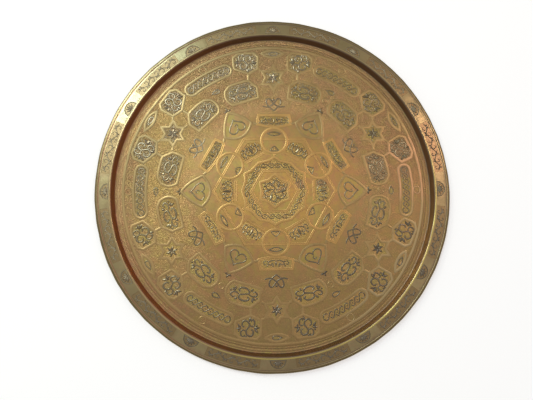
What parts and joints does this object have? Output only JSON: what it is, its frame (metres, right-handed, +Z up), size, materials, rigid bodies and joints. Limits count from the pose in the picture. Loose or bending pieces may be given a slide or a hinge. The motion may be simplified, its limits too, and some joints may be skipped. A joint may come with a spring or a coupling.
{
  "type": "inlaid brass tray",
  "caption": "Round brass serving tray with a flat well, a steep low wall, a flat rim rolled over a wire, and copper strapwork and silver scroll inlay.",
  "frame": {"origin": "centre of the tray's flat underside, at the level it rests on", "axes": "+Z up through the middle of the tray, +Y along a spoke that carries an inner cartouche and a star"},
  "size_m": [0.6, 0.6, 0.0127],
  "materials": {
    "brass_sheet": "aged, hand rubbed",
    "copper_strap": "rubbed bright",
    "silver_inlay": "tarnished",
    "edge_wire": "dull drawn wire"
  },
  "bodies": {
    "root": {"tray_sheet": "brass_sheet", "edge_wire": "edge_wire", "centre_star_strap": "copper_strap", "centre_hexagon_strap": "copper_strap", "border_ring_strap": "copper_strap", "petal_cell_straps": "copper_strap", "circle_straps": "copper_strap", "great_hexagon_straps": "copper_strap", "inner_cartouche_straps": "copper_strap", "heart_frame_straps": "copper_strap", "cartouche_straps": "copper_strap", "small_boss_straps": "copper_strap", "star_straps": "copper_strap", "cell_link_straps": "copper_strap", "roundel_straps": "copper_strap", "chain_cartouche_straps": "copper_strap", "outer_boss_straps": "copper_strap", "outer_leaf_straps": "copper_strap", "outer_border_strap": "copper_strap", "centre_medallion_inlay": "silver_inlay", "chain_border_inlay": "silver_inlay", "panel_inlays": "silver_inlay", "bud_inlays": "silver_inlay", "lens_inlays": "silver_inlay", "inner_cartouche_inlays": "silver_inlay", "heart_inlays": "silver_inlay", "knot_inlays": "silver_inlay", "trefoil_inlays": "silver_inlay", "cartouche_inlays": "silver_inlay", "star_inlays": "silver_inlay", "drop_inlays": "silver_inlay", "roundel_inlays": "silver_inlay", "chain_cartouche_inlays": "silver_inlay", "outer_leaf_inlays": "silver_inlay", "rim_dome_inlays": "silver_inlay", "rim_scroll_inlays": "silver_inlay"}
  },
  "joints": []
}
